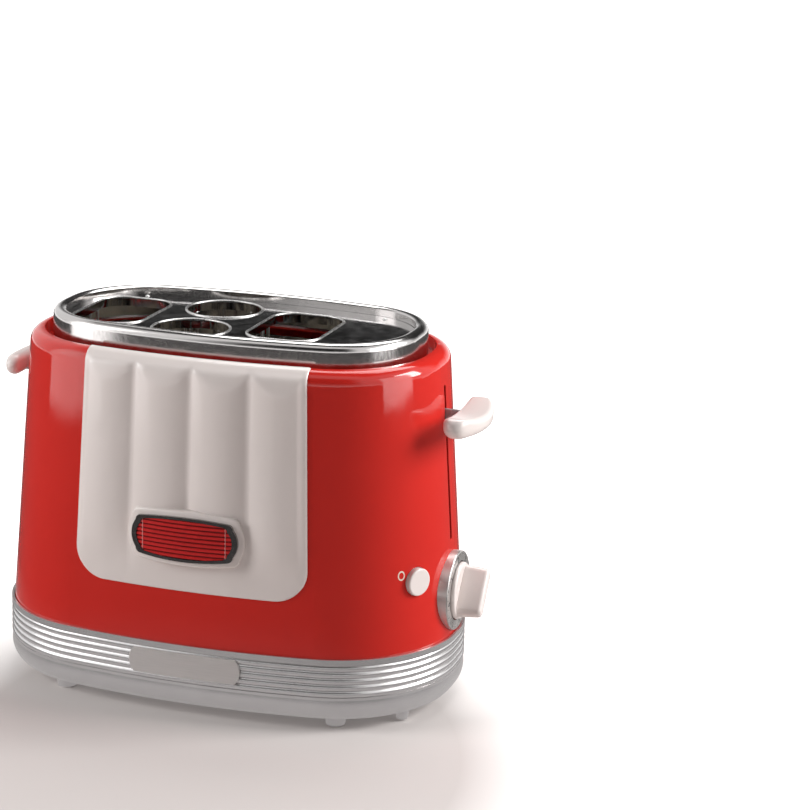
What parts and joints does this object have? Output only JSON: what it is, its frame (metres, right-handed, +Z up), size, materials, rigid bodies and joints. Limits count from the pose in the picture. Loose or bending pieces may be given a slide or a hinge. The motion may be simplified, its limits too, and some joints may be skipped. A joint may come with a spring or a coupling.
{
  "type": "hot dog toaster",
  "caption": "Retro oval hot dog toaster: bun slots and sausage wells in a steel top, fluted front panel, end levers, dial, stop button and crumb tray.",
  "frame": {"origin": "on the floor under the feet, midway between the two ends and midway between front and back of the base", "axes": "+Z up, +X towards the end with the dial and stop button, -Y towards the fluted front panel"},
  "size_m": [0.2911, 0.1622, 0.2105],
  "materials": {
    "red_paint": "high gloss enamel on sheet steel",
    "silver_paint": "satin metallic silver paint on moulded plastic",
    "black_rubber": "matt",
    "grey_plastic": "matt moulded",
    "zinc_steel": "zinc plated sheet",
    "brushed_rim": "brushed along its length",
    "polished_steel": "polished stainless sheet",
    "white_gloss": "warm white, glossy",
    "badge_metal": "dark bright metal",
    "badge_red": "ribbed, glossy",
    "dial_silver": "satin",
    "mica": "pale sheet",
    "ribbon_steel": "dull resistance ribbon",
    "wire_steel": "bright drawn wire",
    "copper_winding": "enamelled winding"
  },
  "bodies": {
    "housing": {"outer_shell": "red_paint", "base_moulding": "silver_paint", "feet": "black_rubber", "cord_pegs": "grey_plastic", "floor_plate": "zinc_steel", "base_screws": "zinc_steel", "cord_bushing": "black_rubber", "rim_ring": "brushed_rim", "slot_plate": "polished_steel", "front_panel": "white_gloss", "badge_bezel": "badge_metal", "badge_insert": "badge_red", "base_plate": "badge_metal", "chassis_left": "zinc_steel", "chassis_right": "zinc_steel", "guide_rod_left": "zinc_steel", "guide_rod_right": "zinc_steel", "reflector_front": "polished_steel", "reflector_rear": "polished_steel", "heater_card_left_outer": "mica", "heater_ribbon_left_outer": "ribbon_steel", "heater_card_left_inner": "mica", "heater_ribbon_left_inner": "ribbon_steel", "heater_card_right_inner": "mica", "heater_ribbon_right_inner": "ribbon_steel", "heater_card_right_outer": "mica", "heater_ribbon_right_outer": "ribbon_steel", "bun_guard_left": "wire_steel", "bun_guard_right": "wire_steel", "sausage_guards": "wire_steel", "magnet_core": "zinc_steel", "magnet_coil": "copper_winding", "control_board": "mica", "timer": "grey_plastic", "stop_switch": "grey_plastic", "dial_ring": "dial_silver", "button_sleeve": "grey_plastic"},
    "carriage": {"lift_rail": "zinc_steel", "bun_tray_left": "zinc_steel", "bun_tray_right": "zinc_steel", "sausage_tray": "zinc_steel", "guide_block_left": "grey_plastic", "guide_block_right": "grey_plastic", "lever_arm_left": "zinc_steel", "lever_arm_right": "zinc_steel", "lever_left": "white_gloss", "lever_right": "white_gloss", "lift_spring_left": "wire_steel", "lift_spring_right": "wire_steel", "latch_armature": "zinc_steel"},
    "knob": {"browning_knob": "white_gloss", "knob_shaft": "wire_steel"},
    "stop_button": {"stop_button": "white_gloss"},
    "crumb_tray": {"crumb_tray": "silver_paint"}
  },
  "joints": [
    {"name": "carriage_lift", "type": "slide", "parent": "housing", "child": "carriage", "axis": [0, 0, 1], "range_m": [-0.064, 0.009], "stiffness_N_per_m": 80, "springref_m": 0.0229, "deforming": ["lift_spring_left", "lift_spring_right"]},
    {"name": "knob_turn", "type": "hinge", "parent": "housing", "child": "knob", "pos_m": [0.1313, 0, 0.0655], "axis": [1, 0, 0], "range_deg": [-98, 172]},
    {"name": "stop_press", "type": "slide", "parent": "housing", "child": "stop_button", "axis": [-0.8707, 0.4918, 0], "range_m": [0, 0.002], "stiffness_N_per_m": 400, "springref_m": -0.001},
    {"name": "tray_pull", "type": "slide", "parent": "housing", "child": "crumb_tray", "axis": [0, 1, 0], "range_m": [0, 0.12]}
  ]
}
